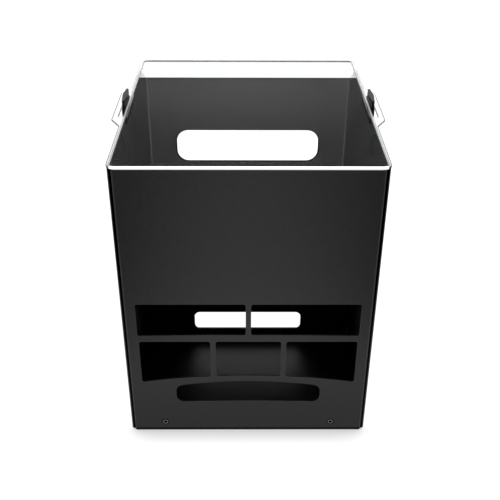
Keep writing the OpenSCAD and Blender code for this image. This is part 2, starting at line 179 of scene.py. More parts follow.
def lay_out(tree):
    """Puts each node one column left of what it feeds, so that the tree reads from left to right."""
    columns = {node.name: 0 for node in tree.nodes}
    for _ in tree.nodes:
        for link in tree.links:
            left = columns[link.to_node.name] + 1
            columns[link.from_node.name] = max(columns[link.from_node.name], left)
    filled = [0] * len(columns)
    for node in tree.nodes:
        column = columns[node.name]
        node.location = (-220 * column, -200 * filled[column])
        filled[column] += 1


print("Node helpers are ready.")


# %% Helpers: values that change over a surface
def math_node(tree, operation, *values, clamp=False):
    """The output of a Math node on up to three sockets or numbers."""
    node = add_node(tree, "ShaderNodeMath", operation=operation, use_clamp=clamp)
    for socket, value in zip(node.inputs, values):
        feed(socket, value)
    return node.outputs[0]


def add_up(tree, start, *parts):
    """The start plus each part, where a part is a socket and its weight."""
    for part, weight in parts:
        start = math_node(tree, "MULTIPLY_ADD", part, weight, start)
    return start


def smooth_step(tree, value, start, end):
    """0 where the value is at start and 1 where it is at end, with a soft change between."""
    return add_node(tree, "ShaderNodeMapRange", interpolation_type="SMOOTHSTEP", From_Min=start,
                    From_Max=end, Value=value).outputs[0]


def map_range(tree, value, start, end, low=0.0, high=1.0):
    """low where the value is at start and high where it is at end, with an even change between."""
    return add_node(tree, "ShaderNodeMapRange", From_Min=start, From_Max=end, To_Min=low, To_Max=high,
                    Value=value).outputs[0]


def coordinates(tree, kind="Object"):
    """The X, Y and Z outputs of a kind of coordinates. Object ones are in metres, on the piece itself."""
    place = add_node(tree, "ShaderNodeTexCoord")
    return add_node(tree, "ShaderNodeSeparateXYZ", Vector=place.outputs[kind]).outputs


def off_middle(tree):
    """How far to either side of the caddy's middle a point lies, in metres."""
    return math_node(tree, "ABSOLUTE", coordinates(tree)["X"])


def noise(tree, size_mm, detail, roughness):
    """Noise whose features are about size_mm across, on the piece's own coordinates."""
    place = add_node(tree, "ShaderNodeTexCoord")
    per_metre = math_node(tree, "DIVIDE", 1 / MM, size_mm)
    return add_node(tree, "ShaderNodeTexNoise", Vector=place.outputs["Object"], Scale=per_metre,
                    Detail=detail, Roughness=roughness).outputs["Fac"]


print("Value helpers are ready.")


# %% Helpers: materials and groups
def new_material(name, viewport=(0.8, 0.8, 0.8, 1)):
    """A node material with a Principled BSDF. Returns the material, its tree and the shader."""
    material = bpy.data.materials.new(name)
    material.use_nodes = True
    material.diffuse_color = viewport
    return material, material.node_tree, material.node_tree.nodes["Principled BSDF"]


def new_group(name, inputs, outputs):
    """A shader node group with named float inputs, each as value, low and high, and float outputs."""
    tree = bpy.data.node_groups.new(name, "ShaderNodeTree")
    for label, (value, low, high) in inputs.items():
        socket = tree.interface.new_socket(label, in_out="INPUT", socket_type="NodeSocketFloat")
        socket.default_value, socket.min_value, socket.max_value = value, low, high
    for label in outputs:
        tree.interface.new_socket(label, in_out="OUTPUT", socket_type="NodeSocketFloat")
    start = add_node(tree, "NodeGroupInput")
    end = add_node(tree, "NodeGroupOutput")
    return tree, start.outputs, end.inputs


def use_group(tree, group, **values):
    """Places a group in a tree, feeds its inputs by name and returns its outputs."""
    return add_node(tree, "ShaderNodeGroup", node_tree=group, **values).outputs


print("Material and group helpers are ready.")

# %% [markdown]
# ## The studio floor
# The caddy stands on white paper that runs on behind it. Paper lit until it burns out would wash out the
# caddy too. Instead the paper keeps its own tone and glows a little, by a different amount for each kind of
# ray. The eye sees it white, but for the shadow close in front of the caddy. The coat mirrors a pool of
# white paper that fades away from the caddy, with a dark patch behind it, as black cards round a product
# would give.


# %% Studio floor
def ray_kinds(tree):
    """Three sockets: 1 for rays from the eye, 1 for rays off a gloss, 1 for rays through clear plastic."""
    path = add_node(tree, "ShaderNodeLightPath")
    past = path.outputs["Is Transmission Ray"]
    gloss = math_node(tree, "SUBTRACT", path.outputs["Is Glossy Ray"], past, clamp=True)
    return path.outputs["Is Camera Ray"], gloss, past


floor_half = 6.0
corners = [(x * floor_half, y * floor_half, 0) for x, y in ((-1, -1), (1, -1), (1, 1), (-1, 1))]
floor_mesh = bpy.data.meshes.new("studio_floor")
floor_mesh.from_pydata(corners, [], [(0, 1, 2, 3)])
floor = put_in_scene("studio_floor", floor_mesh)

paper, tree, shader = new_material("white_paper")
shader.inputs["Roughness"].default_value = 1.0
shader.inputs["Specular IOR Level"].default_value = 0.0
shader.inputs["Emission Color"].default_value = (1, 1, 1, 1)
floor_mesh.materials.append(paper)
eye, gloss, past = ray_kinds(tree)
aside = off_middle(tree)
along = coordinates(tree)["Y"]
print(f"The floor is {2 * floor_half:.0f} m wide.")

# %% Floor: what mirrors and clear plastic see
# Each pair says where a change starts and ends, in metres, along Y or across from the middle.
pool_widens = (-0.32, -0.14)
pool_rim_to_middle = (0.29, 0.02)
close_dims = (-0.30, -0.16)
dip_dims = (-0.34, -0.46)
far_front_glows = (-0.50, -0.68)
far_back_clears = (0.80, 0.88)
past_side_clears = (0.15, 0.19)
front_keeps_pool = (0.16, 0.08)
side_pool_across = (0.22, 0.45)
side_pool_along = (-0.20, 0.0)

# A white pool, narrow in front of the caddy and wide beside it, dimmer close to it and in a dip before it.
across = add_up(tree, aside, (smooth_step(tree, along, *pool_widens), -0.27))
pool = add_up(tree, 0.06, (smooth_step(tree, across, *pool_rim_to_middle), 1.06))
fade = add_up(tree, 0.97, (smooth_step(tree, along, *close_dims), -0.42),
              (smooth_step(tree, along, *dip_dims), -0.20),
              (smooth_step(tree, along, *far_front_glows), 0.45))
pool = math_node(tree, "MULTIPLY", pool, fade)

# Light that leaves the bin through the hand slot or the liner finds a dark patch just behind the caddy.
clear_view = math_node(tree, "MAXIMUM", smooth_step(tree, along, *far_back_clears),
                       smooth_step(tree, aside, *past_side_clears))
beyond = add_up(tree, 0.02, (clear_view, 1.05))
kept = math_node(tree, "MAXIMUM", beyond, smooth_step(tree, along, *front_keeps_pool))
pool = math_node(tree, "MULTIPLY", pool, kept)

# A second, dimmer pool on each side of the caddy.
side_pool = math_node(tree, "MULTIPLY", smooth_step(tree, aside, *side_pool_across),
                      smooth_step(tree, along, *side_pool_along))
pool = math_node(tree, "MAXIMUM", pool, math_node(tree, "MULTIPLY", side_pool, 0.6))
mirrored = add_up(tree, math_node(tree, "MULTIPLY", past, beyond), (pool, gloss))
print("Mirrors see pools of white paper, with a dark patch behind the caddy.")

# %% Floor: what the eye sees
# White paper, with the shadow kept where the floor lies close under the front edge.
contact_reach = 0.036
near = add_node(tree, "ShaderNodeAmbientOcclusion", samples=8, Distance=contact_reach)
before_front = smooth_step(tree, along, front_y + 10.5 * MM, front_y - 2.5 * MM)
under_body = smooth_step(tree, along, front_y + 21.5 * MM, front_y + 36.5 * MM)
closed_in = math_node(tree, "SUBTRACT", 1.0, near.outputs["AO"])
covered = math_node(tree, "MULTIPLY", before_front, closed_in)
seen = math_node(tree, "MAXIMUM", add_up(tree, 1.04, (covered, -1.08)), under_body)
feed(shader.inputs["Emission Strength"], add_up(tree, mirrored, (seen, eye)))
bent = math_node(tree, "ADD", gloss, past, clamp=True)
feed(shader.inputs["Base Color"], add_up(tree, 0.8, (bent, -0.78), (eye, -0.6)))
lay_out(tree)
print(f"The shadow under the front edge reaches {contact_reach / MM:.0f} mm.")

# %% [markdown]
# ## The studio light
# A black coat shows mostly what it mirrors, so the light is planned for that. The world is white to the eye
# and gives an even fill, but gloss and clear plastic see only a low white backdrop behind the caddy. Three
# softboxes add the rest: a key from the front and above, a small one over the bin and one behind. Bare
# lamps would give hard hot spots.

# %% Studio light: the world
fill_level = 0.42
world = bpy.data.worlds.new("studio")
world.use_nodes = True
bpy.context.scene.world = world
tree = world.node_tree
background = tree.nodes["Background"]
background.inputs["Color"].default_value = (1, 1, 1, 1)
eye, gloss, past = ray_kinds(tree)
aim = coordinates(tree, "Generated")
backdrop = math_node(tree, "MULTIPLY", smooth_step(tree, aim["Y"], 0.2, 0.8),
                     smooth_step(tree, aim["Z"], 0.75, 0.22))
mirrored = add_up(tree, 0.02, (backdrop, 0.95))
bent = math_node(tree, "ADD", gloss, past, clamp=True)
spread_light = add_up(tree, 1.0, (eye, -1.0), (bent, -1.0))
feed(background.inputs["Strength"], add_up(tree, eye, (spread_light, fill_level), (mirrored, bent)))
lay_out(tree)
print(f"The world fills at {fill_level} and mirrors a backdrop.")


# %% Studio light: the softboxes
def softbox(name, at, aim, size, watts):
    """A soft rectangular lamp at a point in metres, turned towards another and unseen by the eye."""
    data = bpy.data.lights.new(name, "AREA")
    data.shape = "RECTANGLE"
    data.size, data.size_y = size
    data.energy = watts
    lamp = put_in_scene(name, data)
    lamp.location = at
    lamp.rotation_euler = (Vector(aim) - Vector(at)).to_track_quat("-Z", "Y").to_euler()
    lamp.visible_camera = False


softbox("key_softbox", at=(0.0, -0.5, 2.0), aim=(0, 0, 0.15), size=(1.4, 1.4), watts=10)
softbox("top_softbox", at=(0.0, -0.12, 0.75), aim=(0, 0.1, 0.25), size=(0.3, 0.2), watts=3.0)
softbox("back_softbox", at=(0.0, 1.8, 0.7), aim=(0, 0.2, 0.0), size=(1.4, 0.5), watts=5)
print("The studio has three softboxes.")

# %% [markdown]
# ## Shared effects as node groups
# Powder coat, moulded plastic and rubber all have grain, gather dust and wear at their edges. Clear plastic
# looks darker along its edges, which is painted shade, and narrow gaps get painted shade where they lose
# light.
# Each effect could be wired again in every material, but a group is built once, with inputs in millimetres,
# and each material places it with its own values.

# %% Group: coat grain
tree, given, result = new_group(
    "coat_grain", {"Grain mm": (0.5, 0.05, 5), "Peel mm": (3.0, 0.5, 30), "Peel Share": (0.4, 0, 1)},
    ["Height", "Mottle"])
grain_group = tree
peel = noise(tree, given["Peel mm"], 2.0, 0.5)
blend = add_node(tree, "ShaderNodeMix", data_type="FLOAT")
feed(blend.inputs[0], given["Peel Share"])
feed(blend.inputs[2], noise(tree, given["Grain mm"], 3.0, 0.6))
feed(blend.inputs[3], peel)
feed(result["Height"], blend.outputs[0])
feed(result["Mottle"], map_range(tree, peel, 0.35, 0.65))
lay_out(tree)
print("Group coat_grain: fine grain over a wider orange peel.")

# %% Group: edge band
# The Bevel node turns the normal near an edge, so the turn shows how near that edge is.
tree, given, result = new_group("edge_band", {"Width mm": (0.6, 0.1, 5)}, ["Mask"])
band_group = tree
soft_edge = add_node(tree, "ShaderNodeBevel", samples=4,
                     Radius=math_node(tree, "MULTIPLY", given["Width mm"], MM))
surface = add_node(tree, "ShaderNodeNewGeometry")
turned = add_node(tree, "ShaderNodeVectorMath", operation="DOT_PRODUCT")
feed(turned.inputs[0], soft_edge.outputs["Normal"])
feed(turned.inputs[1], surface.outputs["Normal"])
feed(result["Mask"], smooth_step(tree, turned.outputs["Value"], 0.999, 0.93))
lay_out(tree)
print("Group edge_band: a band along the sharp edges.")

# %% Group: worn edge
tree, given, result = new_group(
    "worn_edge", {"Width mm": (0.6, 0.1, 5), "Amount": (0.5, 0, 1), "Patch mm": (12, 1, 100)}, ["Mask"])
wear_group = tree
edge = use_group(tree, band_group, Width_mm=given["Width mm"])
patches = map_range(tree, noise(tree, given["Patch mm"], 4.0, 0.7), 0.35, 0.7)
worn = math_node(tree, "MULTIPLY", edge["Mask"], patches)
feed(result["Mask"], math_node(tree, "MULTIPLY", worn, given["Amount"]))
lay_out(tree)
print("Group worn_edge: a broken line along the outer edges.")

# %% Group: settled dust
tree, given, result = new_group(
    "settled_dust", {"Amount": (0.2, 0, 1), "Speck mm": (1.5, 0.2, 20)}, ["Mask"])
dust_group = tree
surface = add_node(tree, "ShaderNodeNewGeometry")
facing = add_node(tree, "ShaderNodeSeparateXYZ", Vector=surface.outputs["Normal"])
upward = math_node(tree, "MAXIMUM", facing.outputs["Z"], 0.0)
specks = map_range(tree, noise(tree, given["Speck mm"], 6.0, 0.75), 0.45, 0.75)
lying = math_node(tree, "MULTIPLY", upward, specks)
feed(result["Mask"], math_node(tree, "MULTIPLY", lying, given["Amount"]))
lay_out(tree)
print("Group settled_dust: specks on faces that look up.")

# %% Group: crevice
tree, given, result = new_group("crevice", {"Reach mm": (2, 0.2, 20), "Amount": (1, 0, 1)}, ["Mask"])
crevice_group = tree
# The mask marks painted shade: points where the AO node finds little open space round them.
open_share = add_node(tree, "ShaderNodeAmbientOcclusion", samples=8,
                      Distance=math_node(tree, "MULTIPLY", given["Reach mm"], MM))
tight = smooth_step(tree, open_share.outputs["AO"], 0.95, 0.72)
feed(result["Mask"], math_node(tree, "MULTIPLY", tight, given["Amount"]))
lay_out(tree)
print("Group crevice: narrow gaps and inner corners, where light is lost.")

# %% Group: ring shade
# A ring of painted shade round a point on the front, and the same on the other side. Lean weakens its lower
# half, where light from above reaches in.
tree, given, result = new_group(
    "ring_shade",
    {"Across mm": (0, 0, 200), "Height mm": (0, 0, 400), "Inner mm": (0, -5, 50),
     "Outer mm": (1, 0, 50), "Soft mm": (0.4, 0.01, 5), "Lean": (0, 0, 1)}, ["Mask"])
ring_group = tree
aside_mm = math_node(tree, "MULTIPLY", off_middle(tree), 1 / MM)
up_mm = math_node(tree, "MULTIPLY", coordinates(tree)["Z"], 1 / MM)
across = math_node(tree, "SUBTRACT", aside_mm, given["Across mm"])
above = math_node(tree, "SUBTRACT", up_mm, given["Height mm"])
squares = math_node(tree, "ADD", math_node(tree, "MULTIPLY", across, across),
                    math_node(tree, "MULTIPLY", above, above))
radius = math_node(tree, "SQRT", squares)
past_inner = math_node(tree, "SUBTRACT", radius, given["Inner mm"])
before_outer = math_node(tree, "SUBTRACT", given["Outer mm"], radius)
rise = math_node(tree, "DIVIDE", past_inner, given["Soft mm"], clamp=True)
fall = math_node(tree, "DIVIDE", before_outer, given["Soft mm"], clamp=True)
upper = math_node(tree, "MULTIPLY_ADD", math_node(tree, "DIVIDE", above, given["Outer mm"]), 0.5, 0.5,
                  clamp=True)
weakened = math_node(tree, "MULTIPLY", given["Lean"], math_node(tree, "SUBTRACT", 1.0, upper))
ring = math_node(tree, "MULTIPLY", rise, fall)
feed(result["Mask"], math_node(tree, "MULTIPLY", ring, math_node(tree, "SUBTRACT", 1.0, weakened)))
lay_out(tree)
print("Group ring_shade: a dark ring or dot round a screw.")

# %% [markdown]
# ## Black powder coat
# Powder coat is baked paint: satin, a little bumpy like orange peel, and thicker on flat areas than on
# edges. A flat colour would read as plastic. The grain goes into the bump and the roughness, the mottle
# shifts the colour a little, and edges that hands rub turn paler. Gaps and inner corners get painted shade,
# which takes their colour and gloss alike.
#
# Some lines belong to one sheet only. The front panel has rings of painted shade round its sunk screws, a
# line of painted shade at its foot and a painted highlight down each side, and the wrap has painted shade in
# the gap beside the panel. They could be shapes of their own, but they are only a millimetre or two wide, so
# the coat draws them.


# %% Helpers: colour and bump
def mix_colour(tree, factor, a, b):
    """Mixes colour a towards colour b by a socket, where each colour is a value or a socket."""
    node = add_node(tree, "ShaderNodeMix", data_type="RGBA")
    feed(node.inputs[0], factor)
    for socket, colour in ((node.inputs[6], a), (node.inputs[7], b)):
        feed(socket, (*colour, 1) if isinstance(colour, tuple) else colour)
    return node.outputs[2]


def add_bump(tree, shader, height, depth_mm):
    """Feeds a height into the shader's normal. depth_mm is how tall the height's full range is."""
    bump = add_node(tree, "ShaderNodeBump", Strength=1.0, Distance=depth_mm * MM, Height=height)
    feed(shader.inputs["Normal"], bump.outputs["Normal"])


print("Colour and bump helpers are ready.")


# %% Lines of painted shade and highlight that belong to one sheet
def screw_and_foot_shade(tree):
    """Painted shade: dark rings round the panel's sunk screws, and a dark line at its foot."""
    ring = use_group(tree, ring_group, Across_mm=screw_x / MM, Height_mm=screw_z / MM, Inner_mm=2.6,
                     Outer_mm=4.3, Soft_mm=0.3, Lean=0.6)
    foot = smooth_step(tree, coordinates(tree)["Z"], 5.5 * MM, 2.0 * MM)
    return math_node(tree, "MAXIMUM", ring["Mask"], math_node(tree, "MULTIPLY", foot, 0.9))


def seam_shade(tree):
    """Painted shade in the gap between the front panel and the bends of the sheet beside it."""
    inside = smooth_step(tree, off_middle(tree), side_x - 1.2 * MM, side_x - 2.0 * MM)
    forward = smooth_step(tree, coordinates(tree)["Y"], front_y + 5.5 * MM, front_y + 3.0 * MM)
    return math_node(tree, "MULTIPLY", inside, forward)


def panel_side_highlight(tree):
    """A painted highlight along the panel's two upright edges, about a millimetre wide."""
    outer = smooth_step(tree, off_middle(tree), panel_edge - 1.4 * MM, panel_edge - 0.8 * MM)
    return math_node(tree, "MULTIPLY", outer, 0.35)


print("The panel and the wrap have their own lines.")

# %% Material: powder coat
coat_dark, coat_pale = (0.0025, 0.0025, 0.0027), (0.005, 0.005, 0.0053)
# The pale tone below is for worn edges and, on the front panel, for the painted highlight.
coat_wear_and_highlight, coat_dust, black = (0.10, 0.10, 0.102), (0.3, 0.3, 0.29), (0.0, 0.0, 0.0)
coat_roughness = 0.35


def powder_coat(name, shade=None, rub=None):
    """Black powder coat. The shade paints one sheet's dark lines of shade, and the rub its pale lines of
    highlight.
    """
    material, tree, shader = new_material(name, (0.02, 0.02, 0.02, 1))
    shader.inputs["Specular IOR Level"].default_value = 0.45
    grain = use_group(tree, grain_group, Grain_mm=0.9, Peel_mm=5.0, Peel_Share=0.35)
    worn = use_group(tree, wear_group, Width_mm=0.6, Amount=0.8, Patch_mm=9.0)["Mask"]
    dust = use_group(tree, dust_group, Amount=0.05, Speck_mm=1.2)["Mask"]
    # The crevice mask, and the shade lines added to it below, are painted shade.
    lost = use_group(tree, crevice_group, Reach_mm=3.0, Amount=0.95)["Mask"]
    # On the front panel the rub adds its painted highlight to the wear mask.
    if rub:
        worn = math_node(tree, "MAXIMUM", worn, rub(tree))
    if shade:
        lost = math_node(tree, "MAXIMUM", lost, shade(tree))
    colour = mix_colour(tree, grain["Mottle"], coat_dark, coat_pale)
    for mask, tone in ((worn, coat_wear_and_highlight), (dust, coat_dust), (lost, black)):
        colour = mix_colour(tree, mask, colour, tone)
    feed(shader.inputs["Base Color"], colour)
    feed(shader.inputs["Metallic"], lost)
    feed(shader.inputs["Roughness"],
         map_range(tree, grain["Height"], 0, 1, coat_roughness - 0.06, coat_roughness + 0.06))
    add_bump(tree, shader, grain["Height"], 0.2)
    lay_out(tree)
    return material


coats = {"inside": powder_coat("powder_coat_inside"),
         "panel": powder_coat("powder_coat_panel", screw_and_foot_shade, panel_side_highlight),
         "wrap": powder_coat("powder_coat_wrap", seam_shade)}
print(f"There are {len(coats)} powder coats.")

# %% [markdown]
# ## Rounded edges
# No real sheet or moulding has a knife edge: a small radius catches a line of light, and without it a piece
# looks like cardboard. A solid could be remeshed, but most pieces only need modifiers, which join the flat
# triangles and bevel what is left sharp. The front panel and the liner need more, so each gets a copy that
# stands for the solid. The panel's copy is drawn in a little at its sides and down at its foot, so that the
# dark seams beside it and under it show.

# %% Rounding by modifiers
sharp_angle = math.radians(30)
flat_angle = math.radians(0.5)
same_point = 1e-6


def round_edges(piece, width_mm, segments=2):
    """Rounds a CAD solid's edges with modifiers, which leave its own mesh as it is."""
    piece.modifiers.new("weld", "WELD").merge_threshold = same_point
    planar = piece.modifiers.new("planar", "DECIMATE")
    planar.decimate_type = "DISSOLVE"
    planar.angle_limit = flat_angle
    bevel = piece.modifiers.new("bevel", "BEVEL")
    bevel.width = width_mm * MM
    bevel.segments = segments
    bevel.limit_method = "ANGLE"
    bevel.angle_limit = sharp_angle
    bevel.harden_normals = False
    piece.modifiers.new("normals", "WEIGHTED_NORMAL").keep_sharp = False


plain_sheets = ["body_wrap", "bin_floor", "bay_rear_wall", "base_panel"]
for name in plain_sheets:
    sheet = frame["nodes"][name]
    sheet.material_slots[0].material = coats["wrap" if name == "body_wrap" else "inside"]
    round_edges(sheet, 0.2, segments=3)
print(f"Powder coat covers {', '.join(plain_sheets)}.")


# %% Rounding a copy
def open_solid(node, name):
    """A copy of a CAD solid's mesh, open for editing, with its flat triangles joined into faces."""
    mesh = frame["nodes"][node].data.copy()
    mesh.name = name
    mesh.polygons.foreach_set("material_index", [0] * len(mesh.polygons))
    if "custom_normal" in mesh.attributes:
        mesh.attributes.remove(mesh.attributes["custom_normal"])
    bm = bmesh.new()
    bm.from_mesh(mesh)
    bmesh.ops.remove_doubles(bm, verts=bm.verts, dist=same_point)
    bmesh.ops.dissolve_limit(bm, angle_limit=flat_angle, verts=bm.verts, edges=bm.edges)
    return mesh, bm


def refined_copy(node, name, width_mm, segments=2, reshape=None, cuts=()):
    """
    A copy of a CAD solid with rounded edges, as a new piece that stands for it. reshape is a function that
    changes the copy before it is rounded. Each cut is a plane, given as a point and a normal, that splits
    faces so that finishes can change along it.
    """
    mesh, bm = open_solid(node, name)
    if reshape:
        reshape(bm)
    sharp = [e for e in bm.edges if e.is_manifold and e.calc_face_angle(0) > sharp_angle]
    bmesh.ops.bevel(bm, geom=sharp, offset=width_mm * MM, segments=segments, profile=0.5,
                    affect="EDGES", clamp_overlap=True)
    for point, normal in cuts:
        bmesh.ops.bisect_plane(bm, geom=bm.verts[:] + bm.edges[:] + bm.faces[:],
                               plane_co=point, plane_no=normal)
    for face in bm.faces:
        face.smooth = True
    bm.to_mesh(mesh)
    bm.free()
    piece = put_in_scene(name, mesh)
    piece.modifiers.new("normals", "WEIGHTED_NORMAL").keep_sharp = True
    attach(piece, frame["nodes"][node]["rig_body"])
    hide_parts(node)
    return piece


def draw_panel_in(bm, inset=panel_inset, drop=0.7 * MM, corner=3.5 * MM):
    """Moves the panel's two sides in and its foot down, and takes the rounded corners along whole."""
    outer = max(vert.co.x for vert in bm.verts)
    foot = min(vert.co.z for vert in bm.verts)
    for vert in bm.verts:
        if abs(vert.co.x) > outer - corner:
            vert.co.x -= math.copysign(inset, vert.co.x)
        if vert.co.z < foot + corner:
            vert.co.z -= drop


front_sheet = refined_copy("front_panel", "front_panel_sheet", 0.4, segments=3, reshape=draw_panel_in)
front_sheet.data.materials.clear()
front_sheet.data.materials.append(coats["panel"])
frame["nodes"]["front_panel"].material_slots[0].material = coats["panel"]
print(f"The front panel's copy has {len(front_sheet.data.polygons)} faces.")

# %% [markdown]
# ## Clear plastic
# The liner is bent and cut from clear plastic. A see-through mix would be quick, but it can't bend what
# lies behind, mirror more at a slant or darken towards a cut edge, as real shading does; a band of darker
# tint along the edges adds painted shade there. Such shading would shut out the light that falls through it,
# and the bin would go dark, so a shadow ray test lets that light past.


# %% Materials: clear plastic
def clear_plastic(name, tint, roughness, see_through, past, edge_shade_mm=0.0):
    """Clear plastic that bends light. past is the share of the light that falls through, as for shadows."""
    material, tree, shader = new_material(name, (0.9, 0.95, 1, 0.3))
    shader.inputs["Base Color"].default_value = (*tint, 1)
    shader.inputs["Roughness"].default_value = roughness
    shader.inputs["IOR"].default_value = 1.49
    shader.inputs["Transmission Weight"].default_value = see_through
    # A band of darker tint along the edges is painted shade.
    if edge_shade_mm:
        band = use_group(tree, band_group, Width_mm=edge_shade_mm)
        feed(shader.inputs["Base Color"], mix_colour(tree, band["Mask"], tint, (0.18, 0.185, 0.19)))
    grain = use_group(tree, grain_group, Grain_mm=25.0, Peel_mm=60.0, Peel_Share=0.5)
    add_bump(tree, shader, grain["Height"], 0.02)
    let_past = add_node(tree, "ShaderNodeBsdfTransparent", Color=(past, past, past, 1))
    path = add_node(tree, "ShaderNodeLightPath")
    pick = add_node(tree, "ShaderNodeMixShader")
    feed(pick.inputs[0], path.outputs["Is Shadow Ray"])
    feed(pick.inputs[1], shader.outputs[0])
    feed(pick.inputs[2], let_past.outputs[0])
    feed(tree.nodes["Material Output"].inputs["Surface"], pick.outputs[0])
    lay_out(tree)
    return material


polished = clear_plastic("clear_polished", (0.99, 0.995, 1.0), roughness=0.01, see_through=1.0, past=0.95,
                         edge_shade_mm=1.0)
wall_clear = clear_plastic("clear_wall", (0.97, 0.98, 0.98), roughness=0.06, see_through=1.0, past=0.93)
# The corner finish scatters a little light back: a painted highlight that draws a pale line down the rear
# corners.
corner_line = clear_plastic("clear_corner", (0.97, 0.98, 0.98), roughness=0.06, see_through=0.94,
                            past=0.93)
# The shaded edge and the cut edge are tinted dark: painted shade for the dark that the plastic bends into
# view at its edges. The cut edge is also rough, as a sawn edge is.
shaded_edge = clear_plastic("clear_shaded_edge", (0.10, 0.105, 0.11), roughness=0.1, see_through=1.0,
                            past=0.95)
cut_edge = clear_plastic("clear_cut_edge", (0.07, 0.075, 0.08), roughness=0.35, see_through=0.35, past=0.9)
side_rim = clear_plastic("clear_side_rim", (0.85, 0.86, 0.86), roughness=0.3, see_through=0.72, past=0.9)
print("Clear plastic: polished, wall, corner line, shaded edge, cut edge and side rim.")


# %% Materials: the rear wall's haze with painted shade, and the frosted front edge with a painted glow
def rear_haze_and_shade(tree):
    """The tone of the rear wall: a slight haze, with painted light and shade that leave it lighter upward and
    towards the middle.
    """
    higher = smooth_step(tree, coordinates(tree)["Z"], 200 * MM, 285 * MM)
    inward = smooth_step(tree, off_middle(tree), 100 * MM, 30 * MM)
    return add_up(tree, 0.62, (inward, 0.06), (higher, 0.25))


hazy_and_shaded = clear_plastic("clear_hazy", (0.97, 0.98, 0.98), roughness=0.06, see_through=0.95, past=0.93)
feed(hazy_and_shaded.node_tree.nodes["Principled BSDF"].inputs["Base Color"], rear_haze_and_shade(hazy_and_shaded.node_tree))
lay_out(hazy_and_shaded.node_tree)

# The front edge is frosted white and glows a little: a painted glow for the light that gathers in the edge.
white_edge, tree, shader = new_material("frosted_edge_with_glow", (0.95, 0.95, 0.95, 1))
shader.inputs["Base Color"].default_value = (0.93, 0.94, 0.94, 1)
shader.inputs["Roughness"].default_value = 0.5
shader.inputs["Emission Color"].default_value = (1, 1, 1, 1)
shader.inputs["Emission Strength"].default_value = 0.25
print("The rear wall has a haze, and the lip's front edge is frosted.")

# %% [markdown]
# ## The clear liner
# The liner hangs by its lip from the body's rim. Its front edge looks white because light gathers there,
# which is painted as a glow. Its cut outer edges and a thin border round the top of the lip are painted dark,
# as painted shade. These could be separate strips, but the real liner is one piece, so its copy is split
# along planes and its faces are sorted by finish.

# %% Where the liner's finishes change
under_lip = lip_low - 0.1 * MM
back_top = lip_low - 20 * MM
rear_wall = -front_y - 16.5 * MM
front_band = front_y + 5 * MM
rear_band = -front_y - 2.4 * MM
band_end = side_x - 2.5 * MM
rim_end = side_x + 1.3 * MM
lip_top = lip_low + 0.5 * MM
border_mark = 1
liner_cuts = [((0, y, 0), (0, 1, 0)) for y in (front_band, rear_band)]
liner_cuts += [((x, 0, 0), (1, 0, 0)) for x in (band_end, -band_end, rim_end, -rim_end)]
liner_cuts += [((0, 0, z), (0, 0, 1)) for z in (back_top, under_lip)]


def border_lip(bm):
    """Gives the faces on top of the lip a narrow border, and marks it until the finishes are sorted."""
    bm.normal_update()
    top = [f for f in bm.faces if f.normal.z > 0.99 and f.calc_center_median().z > lip_top]
    border = bmesh.ops.inset_region(bm, faces=top, thickness=0.9 * MM, use_even_offset=True)
    for face in border["faces"]:
        face.material_index = border_mark


liner = refined_copy("clear_liner", "clear_liner_sheet", 0.15, reshape=border_lip, cuts=liner_cuts)
print(f"The liner is split along {len(liner_cuts)} planes.")


# %% Sort the liner's faces by finish
def liner_finish(face, borders):
    """The finish of one face of the liner, by where it lies and where it looks."""
    x, y, z = face.center
    if z <= under_lip:
        if z > back_top:
            return polished
        if y > rear_wall and 0.5 < abs(face.normal.x) < 0.87:
            return corner_line
        return hazy_and_shaded if y > rear_wall else wall_clear
    if y < front_band and abs(x) < band_end:
        return white_edge
    tilted = abs(face.normal.z) < 0.97
    outside = abs(x) > side_x - 0.4 * MM or y > -front_y - 0.5 * MM
    if (tilted and outside) or y > rear_band:
        return cut_edge
    if not tilted and face.index in borders:
        return shaded_edge
    if not tilted and abs(x) < rim_end and z > lip_top:
        return side_rim
    return polished


liner_finishes = [polished, shaded_edge, cut_edge, white_edge, wall_clear, hazy_and_shaded, side_rim, corner_line]
borders = {face.index for face in liner.data.polygons if face.material_index == border_mark}
liner.data.materials.clear()
for material in liner_finishes:
    liner.data.materials.append(material)
for face in liner.data.polygons:
    face.material_index = liner_finishes.index(liner_finish(face, borders))
print(f"The liner has {len(liner.data.polygons)} faces in {len(liner_finishes)} finishes.")

# %% [markdown]
# ## The catches, the screws and the feet
# The thumb grips, hooks and backing strips are moulded black plastic: smoother than the coat, with a fine
# spark-eroded texture from the mould. Screws and nuts are turned steel with a black oxide or zinc finish,
# the rivets are black aluminium, and the feet are rubber that picks up dust. Plain black and plain grey
# would do at a distance, but near by the edges, scratches and specks tell them apart. The front screws' hex
# sockets are drawn dark by the ring group, because light never reaches their floor.

# %% Group: fine scratches
tree, given, result = new_group(
    "fine_scratches", {"Length mm": (4, 0.5, 50), "Width mm": (0.1, 0.02, 2)}, ["Lines"])
scratch_group = tree
place = add_node(tree, "ShaderNodeTexCoord")
per_length = math_node(tree, "DIVIDE", 1 / MM, given["Length mm"])
per_width = math_node(tree, "DIVIDE", 1 / MM, given["Width mm"])
layers = []
for angle in (0.4, 2.3):
    turned = add_node(tree, "ShaderNodeMapping", Rotation=(angle, 0.7 * angle, 1.9 * angle),
                      Vector=place.outputs["Object"])
    scale = add_node(tree, "ShaderNodeCombineXYZ", X=per_length, Y=per_width, Z=per_width)
    stretched = add_node(tree, "ShaderNodeVectorMath", operation="MULTIPLY")
    feed(stretched.inputs[0], turned.outputs[0])
    feed(stretched.inputs[1], scale.outputs[0])
    lines = add_node(tree, "ShaderNodeTexNoise", Scale=1.0, Detail=2.0, Vector=stretched.outputs[0])
    layers.append(lines.outputs["Fac"])
feed(result["Lines"], math_node(tree, "MULTIPLY", *layers))
lay_out(tree)
print("Group fine_scratches: two crossed sets of stretched noise.")


